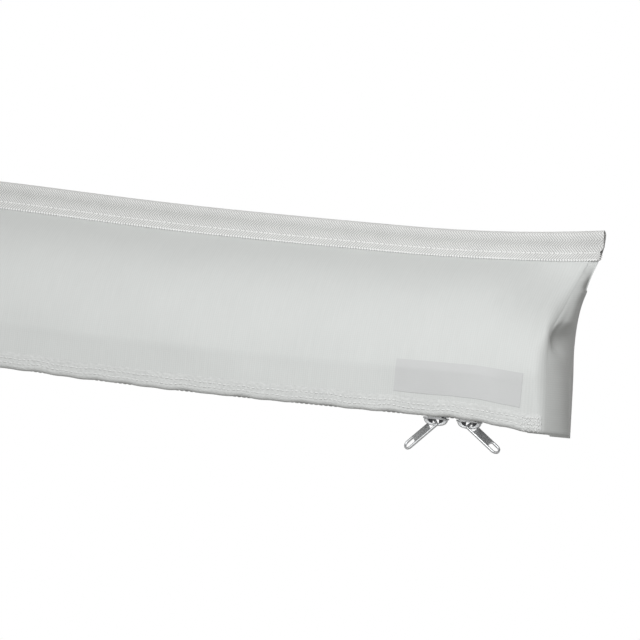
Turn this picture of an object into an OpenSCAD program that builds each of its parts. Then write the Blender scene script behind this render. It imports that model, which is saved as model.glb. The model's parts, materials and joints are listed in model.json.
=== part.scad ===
// Bag awning for a caravan rail: a soft zipped bag hung by its welt band,
// holding a canopy wound on a roller tube with end brackets and telescopic legs.
// Millimetres. Origin on the welt cord's axis at mid length, +X along the bag,
// the front of the bag towards -Y and the vehicle wall towards +Y.

/* [Welt band] */
// Overall length of the band and its cord
band_len = 1900; // [1800:10:2400]
// Radius of the solid welt cord
cord_r = 2.9; // [2.2:0.1:3.4]
// Thickness of the woven band
weave_t = 0.7; // [0.5:0.1:1]
// Drop from the cord's axis to the band's lower edge
band_drop = 17; // [15:1:28]
// How far the panels are tucked up into the band
band_tuck = 9; // [6:1:11]

/* [Bag] */
// Thickness of the coated bag cloth
cloth_t = 0.6; // [0.4:0.1:1]
// Inset of the bag's ends from the band's ends
end_inset = 12; // [8:1:20]
// Inset of the bag's ends where they leave the band
shoulder_inset = 3; // [1:1:6]
// Height of the sloping shoulder at each end
shoulder_h = 40; // [20:1:60]
// Drop from the cord's axis to where the front stands upright
belly_drop = 104; // [90:1:120]
// Drop from the cord's axis to the point that pulls the front's curve out
bulge_drop = 44; // [36:1:48]
// Distance of that point behind the upright front
bulge_in = 10; // [4:1:10]
// Radius of the folds at the bottom edges
fold_r = 6; // [3:0.5:7]
// Free room behind the roll
back_room = 7.6; // [4:0.2:14]
// Free room between the band and the roll
roof_room = 28.5; // [24:0.5:34]
// Free room in front of the legs
front_room = 4.6; // [3:0.2:10]
// Free room below the legs
floor_room = 24.7; // [24:0.1:36]

/* [Label patch] */
// Length of the bare label patch
label_w = 98; // [60:1:120]
// Height of the bare label patch
label_h = 24; // [12:1:25]
// Thickness of the bare label patch
label_t = 0.3; // [0.2:0.1:0.6]
// Distance from the patch's middle to the band's end
label_in = 82; // [76:1:140]
// Height of the patch's lower edge above the bag's bottom
label_up = 16; // [10:1:18]

/* [Zip] */
// Width of the open slit that shows the zip
zip_slit = 16; // [15:0.5:18]
// Width of each zip tape from the middle line
tape_w = 12; // [11:0.5:16]
// Thickness of the zip tapes
tape_t = 0.7; // [0.5:0.1:1]
// Width of one row of the zip coil
coil_w = 2.6; // [2.2:0.1:3]
// Height of the zip coil
coil_h = 3; // [2.4:0.1:3.4]
// Gap between the two closed rows of the coil
coil_gap = 0.1; // [0.05:0.05:0.2]
// Distance from the bag's end to the end of the coil
zip_end = 23; // [20:1:40]
// Length of the end stops
stop_len = 5; // [3:0.5:8]
// Distance of the left slider's middle from the band's right end
slider_left_in = 101; // [98:1:130]
// Distance of the right slider's middle from the band's right end
slider_right_in = 75; // [60:1:76]
// Length of a slider
slider_len = 19; // [17:0.5:21]
// Width of a slider
slider_w = 14; // [13.5:0.1:14.5]
// Thickness of a slider's two wings
wing_t = 1.4; // [1:0.1:1.8]
// Thickness of a slider's side flanges
flange_t = 1; // [0.8:0.1:1.1]
// Width of the post that joins a slider's wings
post_w = 1.8; // [1.4:0.1:2]
// Length of the post that joins a slider's wings
post_len = 5; // [3:0.5:5]
// Play between a slider and the zip
slider_play = 0.3; // [0.2:0.05:0.4]
// Height of a slider's bridge
bridge_h = 4.9; // [4.4:0.1:5.5]
// Width of a slider's bridge
bridge_w = 3.2; // [2.6:0.1:4]
// Thickness of the bridge's bar
bridge_t = 1.6; // [1.2:0.1:1.8]

/* [Pull tabs] */
// Length of a pull tab from its pivot to its tip
pull_len = 31; // [30:1:42]
// Width of a pull tab
pull_w = 9; // [8.5:0.5:12]
// Thickness of a pull tab
pull_t = 2; // [1.5:0.1:2.4]
// Thickness of the pull's ring
ring_t = 1.8; // [1.4:0.1:2]
// Width of the pull's ring
ring_w = 9; // [8:0.5:10]
// Length of the pull's ring
ring_len = 10; // [9.5:0.5:12]
// Turn of the blade out of the plane of its ring
pull_twist = 40; // [0:5:45]
// Swing of the left pull from hanging straight down
pull_left_swing = 45; // [20:1:70]
// Swing of the right pull from hanging straight down
pull_right_swing = 53; // [20:1:70]

/* [Roll] */
// Radius of the roller tube
tube_r = 22; // [20:0.5:25]
// Wall of the roller tube
tube_wall = 1.5; // [1.2:0.1:2]
// Thickness of the canopy cloth
canopy_t = 0.45; // [0.3:0.05:0.6]
// Length of canopy wound on the tube
canopy_len = 1500; // [1000:50:2000]
// Bare tube at each end of the wound canopy
canopy_margin = 5; // [3:1:20]
// Radius of the rod that holds the canopy in the tube's groove
rod_r = 2.3; // [1.8:0.1:2.6]
// Wall round the tube's groove
groove_wall = 1.4; // [1:0.1:1.8]
// Width of the groove's mouth
groove_mouth = 1.6; // [1.2:0.1:2]
// Length of the end plugs inside the tube
plug_len = 25; // [15:1:40]
// Thickness of the end plugs' flanges
plug_flange_t = 3; // [2:0.5:4]
// How far the flanges stand out beyond the tube
plug_lip = 2; // [1:0.5:3]
// Radius of the steel spindles
spindle_r = 5; // [4:0.5:6]
// Length of a spindle inside its plug
spindle_in = 20; // [15:1:25]
// Wall of the bushes that run on the spindles
bush_wall = 2; // [1.5:0.1:3]
// Thickness of a spindle's head
spindle_head_t = 2; // [1:0.5:3]
// Width of a spindle's head round its shank
spindle_head_lip = 2; // [1:0.5:3]

/* [End brackets] */
// Thickness of a bracket's plate
plate_t = 6; // [4:0.5:8]
// Wall of the bracket round its spindle
boss_wall = 7; // [5:0.5:8]
// Thickness of the fork's cheeks
cheek_t = 3; // [2:0.5:4]
// Radius of the fork's cheeks round the leg pin
cheek_r = 9.5; // [8:0.1:10]
// Height of the plate above the leg's pivot
fork_clear = 11.4; // [11:0.1:13]
// Thickness of the plate where it meets the fork
fork_web = 5; // [4:0.5:8]
// Room between a leg's head and the bag's end
end_room = 9; // [6:1:14]
// Side gap between the roller and each bracket
roller_gap = 1; // [0.5:0.1:2]

/* [Legs] */
// Radius of a leg's outer tube
leg_r = 11; // [10:0.5:11.5]
// Wall of the leg tubes
leg_wall = 1.2; // [1:0.1:1.4]
// Gap between one leg tube and the next
stage_gap = 1.5; // [1.2:0.1:1.8]
// Length of the outer tube
leg_len = 620; // [500:10:640]
// Wall of the guide collars round the tubes
collar_wall = 2; // [1.5:0.1:2.5]
// Length of a guide collar
collar_len = 22; // [16:1:30]
// Length of the collar's lip beyond its tube
collar_lip = 8; // [5:0.5:10]
// Length of a lock plug
lock_len = 20; // [15:1:30]
// Length of the stem that holds a plug in its tube
stem_len = 15; // [10:1:25]
// End gap between the parts of a folded leg
stack_gap = 4; // [2:0.5:6]
// Radius of the leg pins
leg_pin_r = 3; // [2.5:0.1:4]
// Thickness of a leg pin's heads
pin_head_t = 1.2; // [0.8:0.1:1.6]
// Thickness of the head's tongue
tongue_t = 12; // [10:0.5:13]
// Distance from the pivot to the start of the tube
neck_len = 18; // [17:0.5:24]
// Thickness of the shoulder that the tube stands on
neck_flange_t = 2; // [1.5:0.1:3]
// Wall of the foot's sleeve
foot_wall = 2.4; // [1.6:0.1:3]
// Length of the foot's sleeve
foot_len = 16; // [12:1:24]
// Radius of the foot's sole
sole_r = 12.5; // [10:0.5:12.5]
// Thickness of the foot's sole
sole_t = 5; // [3:0.5:8]
// Gap between a leg and the wound canopy
leg_gap = 0.6; // [0.4:0.1:2]

/* [Fits] */
// Radial clearance of a running fit
run_fit = 0.05; // [0.02:0.01:0.1]
// Side clearance of the leg's tongue in its fork
side_fit = 0.1; // [0.05:0.05:0.2]
// Gap left between soft pieces
soft_gap = 0.3; // [0.2:0.05:0.5]

/* [Hidden] */
$fn = 64;
over = 1;
curve_steps = 14;
fold_steps = 6;

// Layers inside the band, from the middle out
layer_y = canopy_t / 2;
tail_y = layer_y + cloth_t;
bead_r = cord_r + weave_t;

// Cross-section: the roll hangs under the band, the legs lie below and in front of it
roll_r = sqrt(tube_r * tube_r + canopy_t * canopy_len / PI);
collar_r = leg_r + collar_wall;
roll_y = -(back_room + roll_r);
roll_z = -(band_drop + roof_room + roll_r);
leg_step = (roll_r + collar_r + leg_gap) * cos(45);
leg_y = roll_y - leg_step;
leg_z = roll_z - leg_step;
bag_depth = -leg_y + collar_r + front_room;
bag_drop = -leg_z + collar_r + floor_room;
zip_y = -(bag_depth - fold_r - tape_w);
floor_z = -bag_drop + cloth_t;

// Places along the bag
half_len = band_len / 2;
end_x = half_len - end_inset;
shoulder_x = half_len - shoulder_inset;
zip_half = end_x - zip_end;
slider_left_x = half_len - slider_left_in;
slider_right_x = half_len - slider_right_in;
pivot_x = end_x - end_room - leg_r;
plate_x = pivot_x - cheek_r + over / 2;
tube_half = plate_x - roller_gap - plug_flange_t;
canopy_half = tube_half - canopy_margin;

// Zip heights
coil_mid_z = floor_z + tape_t / 2;
coil_low_z = coil_mid_z - coil_h / 2;
coil_top_z = coil_mid_z + coil_h / 2;
wing_top_z = coil_low_z - slider_play;
wing_low_z = wing_top_z - wing_t;
bar_top_z = wing_low_z - bridge_h + bridge_t;
pull_z = (wing_low_z + bar_top_z) / 2;

// Leg stages, measured from the pivot along the folded leg
bore_1 = leg_r - leg_wall;
mid_r = leg_r - leg_wall - stage_gap;
bore_2 = mid_r - leg_wall;
low_r = mid_r - leg_wall - stage_gap;
bore_3 = low_r - leg_wall;
outer_end = neck_len + leg_len;
mid_lock = neck_len + stem_len + stack_gap;
collar_2 = outer_end + collar_lip + stack_gap;
mid_end = collar_2 + collar_len - collar_lip;
low_lock = mid_lock + lock_len + stem_len + stack_gap;
low_end = collar_2 + collar_len + stack_gap + foot_len;

// Fork of the bracket, measured from the leg's middle plane
cheek_in = tongue_t / 2 + side_fit;
cheek_out = cheek_in + cheek_t;
boss_r = spindle_r + boss_wall;

// Colours
bag_grey = [0.8, 0.81, 0.81];
weave_white = [0.87, 0.87, 0.86];
tape_grey = [0.72, 0.73, 0.73];
nickel = [0.75, 0.77, 0.78];
canopy_blue = [0.45, 0.52, 0.6];
bare_alu = [0.82, 0.83, 0.85];
black_plastic = [0.12, 0.12, 0.13];
grey_plastic = [0.4, 0.41, 0.43];

// A flat shape in Y and Z drawn out along X, centred
module along_x(length) {
    rotate([90, 0, 90]) linear_extrude(height = length, center = true) children();
}

// A flat shape in X and Z drawn out along Y, from the front to past the back
module along_y() {
    rotate([90, 0, 0]) linear_extrude(height = 4 * bag_depth, center = true) children();
}

// A round bar along X from one place to another
module bar_x(radius, from, to) {
    translate([from, 0, 0]) rotate([0, 90, 0]) cylinder(r = radius, h = to - from);
}

// A round bar along Y, centred
module bar_y(radius, length) {
    rotate([90, 0, 0]) cylinder(r = radius, h = length, center = true);
}

// A piece made for the right end, turned over to the left end
module on_left() {
    mirror([1, 0, 0]) children();
}

// Point and direction on the bulged upper part of the front
front_top = [-tail_y, -band_drop - soft_gap];
front_pull = [-bag_depth + bulge_in, -bulge_drop];
front_full = [-bag_depth, -belly_drop];
function front_point(t) =
    (1 - t) * (1 - t) * front_top + 2 * t * (1 - t) * front_pull + t * t * front_full;
function front_way(t) = (1 - t) * (front_pull - front_top) + t * (front_full - front_pull);
function inward(way) = [-way.y, way.x] / norm(way);

// An arc of points in the section
function arc_points(centre, radius, from, to) = [
    for (i = [0 : fold_steps])
        let (a = from + (to - from) * i / fold_steps)
        centre + radius * [cos(a), sin(a)]
];

// Faces of the front panel in the section, at a given depth inside the cloth
function front_face(depth) = concat(
    [[-tail_y + depth, -band_drop + over], [-tail_y + depth, front_top.y - depth]],
    [for (i = [1 : curve_steps])
        let (t = i / curve_steps)
        front_point(t) + depth * inward(front_way(t))],
    arc_points([-bag_depth + fold_r, -bag_drop + fold_r], fold_r - depth, 180, 270),
    [[zip_y - zip_slit / 2, -bag_drop + depth]]
);

// Faces of the back and bottom panel in the section, at a given depth inside the cloth
function back_face(depth) = concat(
    [[tail_y - depth, -band_drop + band_tuck]],
    arc_points([tail_y - fold_r, -bag_drop + fold_r], fold_r - depth, 0, -90),
    [[zip_y + zip_slit / 2, -bag_drop + depth]]
);

function reversed(list) = [for (i = [len(list) - 1 : -1 : 0]) list[i]];

// The end line of the bag seen from the front, moved out by the given amount
function end_line(out, top, low) = [
    [shoulder_x + out, top],
    [shoulder_x + out, -band_drop],
    [end_x + out, -band_drop - shoulder_h],
    [end_x + out, low]
];
function flipped(list) = [for (p = list) [-p.x, p.y]];

// What lies between the two ends of the bag
module between_ends() {
    line = end_line(0, 0, -bag_drop - over);
    along_y() polygon(concat(line, reversed(flipped(line))));
}

// The sheet of cloth that closes one end, before it is cut to the section
module end_sheet() {
    top = -band_drop + over / 2;
    low = -bag_drop - over;
    along_y() polygon(concat(end_line(0, top, low), reversed(end_line(cloth_t, top, low))));
}

module keder_cord() {
    color(weave_white) bar_x(cord_r, -half_len, half_len);
}

// Woven tape folded round the cord, its two tails holding the bag's top edge
module keder_band() {
    color(weave_white) along_x(band_len) difference() {
        union() {
            circle(r = bead_r);
            translate([-tail_y - weave_t, -band_drop]) square([2 * (tail_y + weave_t), band_drop]);
        }
        circle(r = cord_r);
        translate([-tail_y, -band_drop - over]) square([2 * tail_y, band_tuck + over]);
    }
}

module bag_back_panel() {
    color(bag_grey) intersection() {
        along_x(band_len) polygon(concat(back_face(0), reversed(back_face(cloth_t))));
        between_ends();
    }
}

module bag_front_panel() {
    color(bag_grey) intersection() {
        along_x(band_len) polygon(concat(front_face(0), reversed(front_face(cloth_t))));
        between_ends();
    }
}

// End panel with the full outline of the closed bag
module bag_end_right() {
    color(bag_grey) intersection() {
        along_x(2 * band_len) polygon(concat(
            front_face(0),
            reversed(back_face(0))
        ));
        end_sheet();
    }
}

module bag_end_left() {
    on_left() bag_end_right();
}

module label_patch() {
    color(tape_grey)
        translate([half_len - label_in - label_w / 2, -bag_depth - label_t, -bag_drop + label_up])
            cube([label_w, label_t, label_h]);
}

// Inner edge of the front tape, which opens round the sliders' posts
jog_left = slider_left_x;
jog_right = slider_right_x;
jog_run = slider_len / 8;
function front_edge(y, jog) = [
    [-zip_half, y],
    [jog_left - jog_run, y],
    [jog_left + jog_run, y - jog],
    [jog_right - jog_run, y - jog],
    [jog_right + jog_run, y],
    [zip_half, y]
];

module zip_tape_back() {
    near = zip_y + coil_gap / 2 + coil_w;
    length = 2 * (zip_half + stop_len);
    color(tape_grey) translate([-length / 2, near, floor_z])
        cube([length, zip_y + tape_w - near, tape_t]);
}

module zip_coil_back() {
    color(tape_grey) translate([-zip_half, zip_y + coil_gap / 2, coil_low_z])
        cube([2 * zip_half, coil_w, coil_h]);
}

// Small clamps at the two ends of the fixed row
module zip_stops() {
    color(nickel) for (side = [-1, 1])
        translate([side * (zip_half + stop_len / 2), zip_y + (coil_gap + coil_w) / 2, coil_mid_z])
            cube([stop_len, coil_w, coil_h + cloth_t], center = true);
}

module zip_tape_front() {
    near = zip_y - coil_gap / 2 - coil_w;
    far = zip_y - tape_w;
    color(tape_grey) translate([0, 0, floor_z]) linear_extrude(height = tape_t)
        polygon(concat(front_edge(near, coil_w), [[zip_half, far], [-zip_half, far]]));
}

module zip_coil_front() {
    near = zip_y - coil_gap / 2;
    color(tape_grey) translate([0, 0, coil_low_z]) linear_extrude(height = coil_h)
        polygon(concat(front_edge(near, coil_w), reversed(front_edge(near - coil_w, coil_w))));
}

// Slider with its post towards +X, its middle at the zip's middle line
module slider_body() {
    post_y = -coil_gap / 2 - coil_w / 2;
    upper_low_z = coil_top_z + slider_play;
    flange_y = slider_w / 2 - flange_t;
    corner = flange_t * 2;
    long = slider_len / 2;
    wide = slider_w / 2;
    wing_outline = [
        [-long, -wide + corner], [-long + corner, -wide], [long - corner, -wide], [long, -wide + corner],
        [long, wide - corner], [long - corner, wide], [-long + corner, wide], [-long, wide - corner]
    ];
    translate([0, 0, wing_low_z]) linear_extrude(height = wing_t) polygon(wing_outline);
    translate([0, 0, upper_low_z]) linear_extrude(height = wing_t) polygon(wing_outline);
    translate([long - post_len - over, post_y - post_w / 2, wing_low_z])
        cube([post_len, post_w, upper_low_z + wing_t - wing_low_z]);
    for (y = [-wide, flange_y]) {
        translate([-long + corner, y, wing_low_z])
            cube([slider_len - 2 * corner, flange_t, floor_z - slider_play - wing_low_z]);
        translate([-long + corner, y, floor_z + tape_t + slider_play])
            cube([slider_len - 2 * corner, flange_t, upper_low_z + wing_t - floor_z - tape_t - slider_play]);
    }
    bridge_long = slider_len - 2 * corner;
    translate([-bridge_long / 2, -bridge_w / 2, wing_low_z - bridge_h])
        difference() {
            cube([bridge_long, bridge_w, bridge_h + wing_t / 2]);
            translate([corner, -over, bridge_t])
                cube([bridge_long - 2 * corner, bridge_w + 2 * over, bridge_h - bridge_t]);
        }
}

module zip_slider_left() {
    color(nickel) translate([slider_left_x, zip_y, 0]) slider_body();
}

module zip_slider_right() {
    color(nickel) translate([slider_right_x, zip_y, 0]) mirror([1, 0, 0]) slider_body();
}

// Pull tab hanging straight down from its pivot: a ring, a neck and a turned blade with a slot
module pull_tab(twist) {
    arm = ring_w / 2 - ring_t / 2;
    neck_r = ring_t;
    blade_top = ring_len + neck_r;
    blade_round = pull_w / 4;
    slot_r = pull_w / 6;
    bar_y(ring_t / 2, ring_w);
    translate([0, 0, -ring_len]) bar_y(ring_t / 2, ring_w);
    for (side = [-1, 1]) translate([0, side * arm, -ring_len]) cylinder(r = ring_t / 2, h = ring_len);
    translate([0, 0, -blade_top - neck_r]) cylinder(r = neck_r, h = 2 * neck_r);
    rotate([0, 0, twist]) rotate([90, 0, 90]) linear_extrude(height = pull_t, center = true)
        difference() {
            union() {
                translate([-pull_w / 2, -pull_len + blade_round])
                    square([pull_w, pull_len - blade_round - blade_top - neck_r / 2]);
                translate([-pull_w / 2 + blade_round, -pull_len])
                    square([pull_w - 2 * blade_round, blade_round + over]);
                for (side = [-1, 1])
                    translate([side * (pull_w / 2 - blade_round), -pull_len + blade_round])
                        circle(r = blade_round);
            }
            translate([-slot_r, -pull_len + 3 * slot_r]) square([2 * slot_r, 2 * slot_r]);
            translate([0, -pull_len + 3 * slot_r]) circle(r = slot_r);
            translate([0, -pull_len + 5 * slot_r]) circle(r = slot_r);
        }
}

module zip_pull_left() {
    color(nickel) translate([slider_left_x, zip_y, pull_z])
        rotate([0, pull_left_swing, 0]) pull_tab(pull_twist);
}

module zip_pull_right() {
    color(nickel) translate([slider_right_x, zip_y, pull_z])
        rotate([0, -pull_right_swing, 0]) pull_tab(-pull_twist);
}

// Canopy from its hem in the band to where it meets the roll
lead_bend_z = -band_drop - 4 * cloth_t;
lead_span = [-roll_y, lead_bend_z - roll_z];
lead_turn = atan2(lead_span.y, lead_span.x) + acos((roll_r + soft_gap + canopy_t) / norm(lead_span));
function lead_meets(radius) = [roll_y, roll_z] + radius * [cos(lead_turn), sin(lead_turn)];
module canopy_lead() {
    color(canopy_blue) along_x(2 * canopy_half) polygon([
        [layer_y, -band_drop + band_tuck],
        [layer_y, lead_bend_z],
        lead_meets(roll_r + soft_gap),
        lead_meets(roll_r + soft_gap + canopy_t),
        [-layer_y, lead_bend_z + canopy_t],
        [-layer_y, -band_drop + band_tuck]
    ]);
}

module canopy_wound() {
    color(canopy_blue) translate([0, roll_y, roll_z]) along_x(2 * canopy_half) difference() {
        circle(r = roll_r);
        circle(r = tube_r);
    }
}

// Groove inside the tube's wall for the canopy's rod
groove_y = tube_r - tube_wall - rod_r;
pocket_r = rod_r + run_fit;
groove_r = pocket_r + groove_wall;

module canopy_rod() {
    color(weave_white) translate([0, roll_y, roll_z + groove_y]) bar_x(rod_r, -canopy_half, canopy_half);
}

module roller_tube() {
    color(bare_alu) translate([0, roll_y, roll_z]) along_x(2 * tube_half) difference() {
        union() {
            difference() {
                circle(r = tube_r);
                circle(r = tube_r - tube_wall);
            }
            intersection() {
                circle(r = tube_r);
                translate([0, groove_y]) circle(r = groove_r);
            }
        }
        translate([0, groove_y]) circle(r = pocket_r);
        translate([-groove_mouth / 2, groove_y]) square([groove_mouth, tube_r]);
    }
}

module roller_plug_right() {
    bush_r = spindle_r + run_fit + bush_wall;
    color(black_plastic) translate([0, roll_y, roll_z]) difference() {
        union() {
            bar_x(tube_r - tube_wall, tube_half - plug_len, tube_half);
            bar_x(tube_r + plug_lip, tube_half, tube_half + plug_flange_t);
        }
        bar_x(bush_r, tube_half - plug_len - over, tube_half + plug_flange_t + over);
        translate([0, 0, groove_y]) bar_x(groove_r + run_fit, tube_half - plug_len - over, tube_half);
    }
}

module roller_plug_left() {
    on_left() roller_plug_right();
}

module bush() {
    translate([0, roll_y, roll_z]) difference() {
        bar_x(spindle_r + run_fit + bush_wall, tube_half - plug_len, tube_half + plug_flange_t);
        bar_x(spindle_r + run_fit, tube_half - plug_len - over, tube_half + plug_flange_t + over);
    }
}

module roller_bushes() {
    color(weave_white) {
        bush();
        on_left() bush();
    }
}

module spindle_right() {
    color(nickel) translate([0, roll_y, roll_z]) {
        bar_x(spindle_r, tube_half - spindle_in, plate_x + plate_t);
        bar_x(spindle_r + spindle_head_lip, plate_x + plate_t, plate_x + plate_t + spindle_head_t);
    }
}

module spindle_left() {
    on_left() spindle_right();
}

// Moulded bracket: a plate round the spindle and a fork that carries the leg
module end_bracket_right() {
    web_z = leg_z + fork_clear;
    color(black_plastic) difference() {
        union() {
            translate([plate_x + plate_t / 2, 0, 0]) along_x(plate_t) {
                translate([roll_y, roll_z]) circle(r = boss_r);
                polygon([
                    [roll_y, roll_z + boss_r],
                    [leg_y - cheek_out, web_z + fork_web],
                    [leg_y - cheek_out, web_z],
                    [roll_y, web_z]
                ]);
            }
            for (y = [leg_y - cheek_out, leg_y + cheek_in])
                translate([pivot_x, y, leg_z]) {
                    translate([0, cheek_t / 2, 0]) bar_y(cheek_r, cheek_t);
                    translate([plate_x - pivot_x, 0, 0])
                        cube([pivot_x + cheek_r - plate_x, cheek_t, fork_clear + fork_web]);
                }
        }
        translate([0, roll_y, roll_z]) bar_x(spindle_r, plate_x - over, plate_x + plate_t + over);
        translate([pivot_x, leg_y, leg_z]) bar_y(leg_pin_r, 2 * cheek_out + 2 * over);
    }
}

module end_bracket_left() {
    on_left() end_bracket_right();
}

module leg_pin() {
    translate([pivot_x, leg_y, leg_z]) {
        bar_y(leg_pin_r, 2 * cheek_out);
        for (side = [-1, 1])
            translate([0, side * (cheek_out + pin_head_t / 2), 0]) bar_y(leg_pin_r * 1.5, pin_head_t);
    }
}

module leg_pins() {
    color(nickel) {
        leg_pin();
        on_left() leg_pin();
    }
}

// A length of a folded leg, measured from its pivot towards the middle of the bag
module leg_bar(radius, from, to) {
    translate([pivot_x, leg_y, leg_z]) mirror([1, 0, 0]) bar_x(radius, from, to);
}

module leg_tube(radius, from, to) {
    difference() {
        leg_bar(radius, from, to);
        leg_bar(radius - leg_wall, from - over, to + over);
    }
}

// Guide collar over the end of one tube, running on the next one
module leg_collar(radius, next_r, tube_end) {
    difference() {
        leg_bar(radius + collar_wall, tube_end + collar_lip - collar_len, tube_end + collar_lip);
        leg_bar(radius, tube_end - collar_len, tube_end);
        leg_bar(next_r + run_fit, tube_end - over, tube_end + collar_lip + over);
    }
}

// Lock plug at the top of a tube, running in the bore of the tube round it
module leg_lock(bore, inner_bore, from) {
    leg_bar(bore - run_fit, from, from + lock_len);
    leg_bar(inner_bore, from + lock_len, from + lock_len + stem_len);
}

// Head with a tongue on the leg pin and a stem in the outer tube
module leg_head_right() {
    color(black_plastic) difference() {
        union() {
            translate([pivot_x, leg_y, leg_z]) {
                bar_y(cheek_r - side_fit, tongue_t);
                translate([-neck_len, -tongue_t / 2, -cheek_r + side_fit])
                    cube([neck_len, tongue_t, 2 * (cheek_r - side_fit)]);
            }
            leg_bar(leg_r, neck_len - neck_flange_t, neck_len);
            leg_bar(bore_1, neck_len, neck_len + stem_len);
        }
        translate([pivot_x, leg_y, leg_z]) bar_y(leg_pin_r + run_fit, tongue_t + 2 * over);
    }
}

module leg_outer_right() {
    color(bare_alu) leg_tube(leg_r, neck_len, outer_end);
}

module leg_collar_right() {
    color(grey_plastic) leg_collar(leg_r, mid_r, outer_end);
}

module leg_mid_right() {
    color(bare_alu) leg_tube(mid_r, mid_lock + lock_len, mid_end);
}

module leg_mid_lock_right() {
    color(grey_plastic) leg_lock(bore_1, bore_2, mid_lock);
}

module leg_mid_collar_right() {
    color(grey_plastic) leg_collar(mid_r, low_r, mid_end);
}

module leg_low_right() {
    color(bare_alu) leg_tube(low_r, low_lock + lock_len, low_end);
}

module leg_low_lock_right() {
    color(grey_plastic) leg_lock(bore_2, bore_3, low_lock);
}

// Foot pushed over the end of the lowest tube
module leg_foot_right() {
    color(black_plastic) difference() {
        union() {
            leg_bar(low_r + foot_wall, low_end - foot_len, low_end + sole_t);
            leg_bar(sole_r, low_end, low_end + sole_t);
        }
        leg_bar(low_r, low_end - foot_len - over, low_end);
    }
}

module leg_head_left() { on_left() leg_head_right(); }
module leg_outer_left() { on_left() leg_outer_right(); }
module leg_collar_left() { on_left() leg_collar_right(); }
module leg_mid_left() { on_left() leg_mid_right(); }
module leg_mid_lock_left() { on_left() leg_mid_lock_right(); }
module leg_mid_collar_left() { on_left() leg_mid_collar_right(); }
module leg_low_left() { on_left() leg_low_right(); }
module leg_low_lock_left() { on_left() leg_low_lock_right(); }
module leg_foot_left() { on_left() leg_foot_right(); }

keder_cord();
keder_band();
bag_back_panel();
bag_end_left();
bag_end_right();
bag_front_panel();
label_patch();
zip_tape_back();
zip_coil_back();
zip_stops();
zip_tape_front();
zip_coil_front();
zip_slider_left();
zip_slider_right();
zip_pull_left();
zip_pull_right();
canopy_lead();
canopy_wound();
canopy_rod();
roller_tube();
roller_plug_left();
roller_plug_right();
roller_bushes();
spindle_left();
spindle_right();
end_bracket_left();
end_bracket_right();
leg_pins();
leg_head_left();
leg_outer_left();
leg_collar_left();
leg_mid_left();
leg_mid_lock_left();
leg_mid_collar_left();
leg_low_left();
leg_low_lock_left();
leg_foot_left();
leg_head_right();
leg_outer_right();
leg_collar_right();
leg_mid_right();
leg_mid_lock_right();
leg_mid_collar_right();
leg_low_right();
leg_low_lock_right();
leg_foot_right();
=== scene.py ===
"""The looks of a bag awning: the zipped bag on its welt band, with the canopy, roller and legs inside."""
import json
import math

import bmesh
import bpy
import numpy as np
from mathutils import Matrix, Vector


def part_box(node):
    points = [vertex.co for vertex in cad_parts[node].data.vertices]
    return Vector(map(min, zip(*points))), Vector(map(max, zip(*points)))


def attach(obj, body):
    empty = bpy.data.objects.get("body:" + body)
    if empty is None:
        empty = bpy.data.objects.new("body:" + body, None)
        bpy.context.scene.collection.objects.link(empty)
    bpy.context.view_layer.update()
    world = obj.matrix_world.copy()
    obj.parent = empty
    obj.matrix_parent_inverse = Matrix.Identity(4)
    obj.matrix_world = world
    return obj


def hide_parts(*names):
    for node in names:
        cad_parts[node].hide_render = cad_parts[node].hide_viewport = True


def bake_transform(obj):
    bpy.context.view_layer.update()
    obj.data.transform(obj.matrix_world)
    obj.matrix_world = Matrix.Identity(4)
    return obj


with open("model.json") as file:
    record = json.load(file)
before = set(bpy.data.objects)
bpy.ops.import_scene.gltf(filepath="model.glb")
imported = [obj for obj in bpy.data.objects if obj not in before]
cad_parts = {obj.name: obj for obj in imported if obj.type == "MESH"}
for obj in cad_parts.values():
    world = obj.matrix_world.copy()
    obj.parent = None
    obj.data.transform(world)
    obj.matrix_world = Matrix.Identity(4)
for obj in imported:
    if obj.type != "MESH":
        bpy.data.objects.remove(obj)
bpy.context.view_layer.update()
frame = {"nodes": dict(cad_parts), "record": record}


# Welt cord
# A solid white plastic cord, extruded in one length and cut off square just inside the band's ends.
# It lies in the fold of the band and gives it the bead that slides into the vehicle's rail.
band_low, band_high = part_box("keder_band")
bag_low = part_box("bag_front_panel")[0]
half_len = band_high.x
bead_r = band_high.z
cord_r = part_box("keder_cord")[1].z
cord_recess = 0.004
bag_drop = -bag_low.z
curl_reach = 0.16
curl_top = 0.0095
sag_reach = 0.075
sag_low = 0.005
rises = ((0.42, 0.151, 0.007), (-0.36, 0.24, 0.004))


def smooth(share):
    """An even start and finish between nought and one."""
    share = np.clip(share, 0, 1)
    return share * share * (3 - 2 * share)


def rise(x):
    """The slack bag isn't drawn straight: it lies a little higher at two places along its length."""
    return sum(high * np.exp(-((x - place) / spread) ** 2) for place, spread, high in rises)


def settle(x, y, z, slack=1):
    """How the bag hangs: its rises, its band's ends curling up and its slack bottom corners sagging."""
    from_end = half_len - np.abs(x)
    curl = curl_top * np.clip(1 - from_end / curl_reach, 0, 1) ** 2.1
    sag = slack * sag_low * smooth(1.5 * (1 - from_end / sag_reach))
    lift = rise(x) + curl * (1 + z / bag_drop) + sag * z / bag_drop
    return np.stack(np.broadcast_arrays(x, y, z + lift), axis=-1)


def stations(half, step, end_step):
    """Places along the bag, closer together near its two ends."""
    near = np.arange(0, curl_reach, end_step)
    middle = np.linspace(curl_reach - half, half - curl_reach, int(2 * (half - curl_reach) / step))
    return np.concatenate([near - half, middle, (half - near)[::-1]])


def grid_faces(rows, cols, wrap=False, first=0):
    """Four-cornered faces between rows of points; wrap closes each row into a ring."""
    index = first + np.arange(rows * cols).reshape(rows, cols)
    if wrap:
        index = np.concatenate([index, index[:, :1]], axis=1)
    corners = [index[:-1, :-1], index[:-1, 1:], index[1:, 1:], index[1:, :-1]]
    return np.stack(corners, axis=-1).reshape(-1, 4).tolist()


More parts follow.
